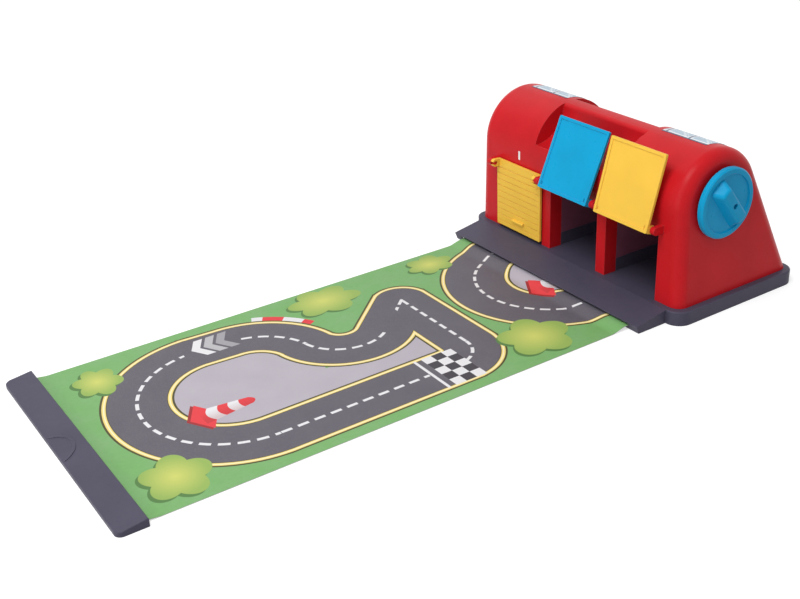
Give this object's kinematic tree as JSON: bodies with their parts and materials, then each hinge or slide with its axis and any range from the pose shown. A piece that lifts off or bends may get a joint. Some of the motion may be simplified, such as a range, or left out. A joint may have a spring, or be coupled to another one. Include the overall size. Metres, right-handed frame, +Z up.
{
  "type": "toy race track",
  "caption": "Toy garage with lift-up doors and a knob-wound spool that draws in a printed roll-out race track mat by the bar at its end.",
  "frame": {"origin": "middle of the garage's underside, on the floor", "axes": "+X along the spool axle towards the knob, -Y towards the mat and the pull bar, +Z up"},
  "size_m": [0.375, 0.825, 0.1863],
  "materials": {
    "red_plastic": "gloss",
    "navy_plastic": "gloss",
    "yellow_plastic": "gloss",
    "blue_plastic": "gloss",
    "inner_plastic": "matt",
    "screw_steel": "zinc plated",
    "mat_print": "printed, satin",
    "window_label": "printed label"
  },
  "bodies": {
    "garage": {"base": "navy_plastic", "bottom_cover": "navy_plastic", "bottom_cover_screws": "screw_steel", "housing_screws": "screw_steel", "housing": "red_plastic", "rear_cover": "red_plastic", "rear_cover_screws": "screw_steel", "garage_liner": "red_plastic", "roller_pins": "screw_steel", "roof_window_left": "window_label", "roof_window_right": "window_label", "mat": "mat_print"},
    "door_left": {"door_1": "yellow_plastic"},
    "door_middle": {"door_2": "blue_plastic"},
    "door_right": {"door_3": "yellow_plastic"},
    "spool": {"knob": "blue_plastic", "knob_screw": "screw_steel", "drive_shaft": "blue_plastic", "idler_axle": "inner_plastic", "spool_core": "inner_plastic", "spool_flange_left": "inner_plastic", "spool_flange_right": "inner_plastic", "mat_roll": "mat_print"},
    "roller": {"guide_roller": "inner_plastic"},
    "bar": {"pull_bar": "navy_plastic", "clamp_strip": "navy_plastic", "clamp_screws": "screw_steel"}
  },
  "joints": [
    {"name": "door_left_hinge", "type": "hinge", "parent": "garage", "child": "door_left", "pos_m": [-0.0935, -0.09949, 0.104], "axis": [-1, 0, 0], "range_deg": [0, 203]},
    {"name": "door_middle_hinge", "type": "hinge", "parent": "garage", "child": "door_middle", "pos_m": [0.003, -0.09949, 0.104], "axis": [-1, 0, 0], "range_deg": [-203, 0]},
    {"name": "door_right_hinge", "type": "hinge", "parent": "garage", "child": "door_right", "pos_m": [0.0995, -0.09949, 0.104], "axis": [-1, 0, 0], "range_deg": [-196, 7]},
    {"name": "knob_spin", "type": "hinge", "parent": "garage", "child": "spool", "pos_m": [0, -0.02899, 0.1285], "axis": [1, 0, 0], "range_deg": [0, 1882]},
    {"name": "roller_spin", "type": "hinge", "parent": "garage", "child": "roller", "pos_m": [0, 0.07699, 0.01], "axis": [1, 0, 0], "range_deg": [0, 5082]},
    {"name": "bar_slide", "type": "slide", "parent": "garage", "child": "bar", "axis": [0, 1, 0], "range_m": [0, 0.5585], "deforming": ["mat"]}
  ],
  "couplings": [
    {"joint": "bar_slide", "follows": "knob_spin", "m_per_rad": 0.017},
    {"joint": "roller_spin", "follows": "knob_spin", "ratio": 2.7}
  ]
}
